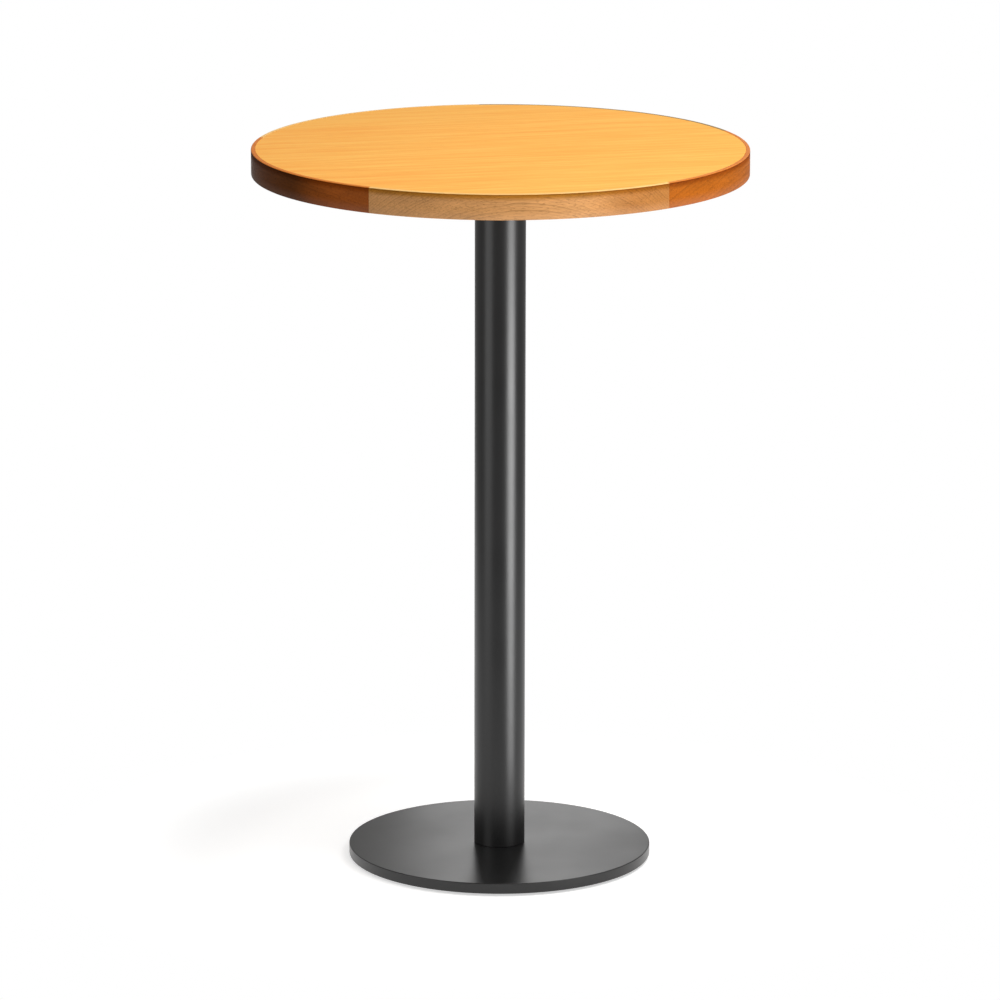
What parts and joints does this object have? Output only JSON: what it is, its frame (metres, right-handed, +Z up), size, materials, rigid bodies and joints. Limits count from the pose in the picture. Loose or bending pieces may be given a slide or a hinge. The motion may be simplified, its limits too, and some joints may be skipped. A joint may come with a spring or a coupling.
{
  "type": "restaurant table",
  "caption": "Round bar-height pedestal table with a lipped wood-veneer top, a black steel column, a flat round steel base and levelling glides.",
  "frame": {"origin": "on the floor, under the middle of the column", "axes": "+Z up along the column, -Y towards the front that the picture shows, +X to its right"},
  "size_m": [0.737, 0.737, 1.085],
  "materials": {
    "face_veneer": "satin lacquer",
    "core_board": "raw board",
    "backing_veneer": "matt lacquer",
    "lipping_front": "satin lacquer",
    "lipping_right": "satin lacquer",
    "lipping_back_right": "satin lacquer",
    "lipping_back_left": "satin lacquer",
    "lipping_left": "satin lacquer",
    "black_powder_coat": "satin",
    "black_screws": "black oxide",
    "turned_steel": "turned",
    "zinc_steel": "zinc plated",
    "black_nylon": "matt"
  },
  "bodies": {
    "table": {"face_veneer": "face_veneer", "core_board": "core_board", "backing_veneer": "backing_veneer", "spider": "black_powder_coat", "top_screws": "black_screws", "column_tube": "black_powder_coat", "column_seat": "turned_steel", "seat_screws": "zinc_steel", "tie_rod": "zinc_steel", "upper_washer": "zinc_steel", "upper_nut": "zinc_steel", "lower_nut": "zinc_steel", "lower_washer": "zinc_steel", "base_plate": "black_powder_coat", "lipping_front": "lipping_front", "lipping_right": "lipping_right", "lipping_back_right": "lipping_back_right", "lipping_back_left": "lipping_back_left", "lipping_left": "lipping_left"},
    "glide_1": {"glide_stud_1": "zinc_steel", "glide_pad_1": "black_nylon"},
    "glide_2": {"glide_stud_2": "zinc_steel", "glide_pad_2": "black_nylon"},
    "glide_3": {"glide_stud_3": "zinc_steel", "glide_pad_3": "black_nylon"},
    "glide_4": {"glide_stud_4": "zinc_steel", "glide_pad_4": "black_nylon"}
  },
  "joints": [
    {"name": "glide_1_height", "type": "slide", "parent": "table", "child": "glide_1", "axis": [0, 0, -1], "range_m": [0, 0.006]},
    {"name": "glide_2_height", "type": "slide", "parent": "table", "child": "glide_2", "axis": [0, 0, -1], "range_m": [0, 0.006]},
    {"name": "glide_3_height", "type": "slide", "parent": "table", "child": "glide_3", "axis": [0, 0, -1], "range_m": [0, 0.006]},
    {"name": "glide_4_height", "type": "slide", "parent": "table", "child": "glide_4", "axis": [0, 0, -1], "range_m": [0, 0.006]}
  ]
}
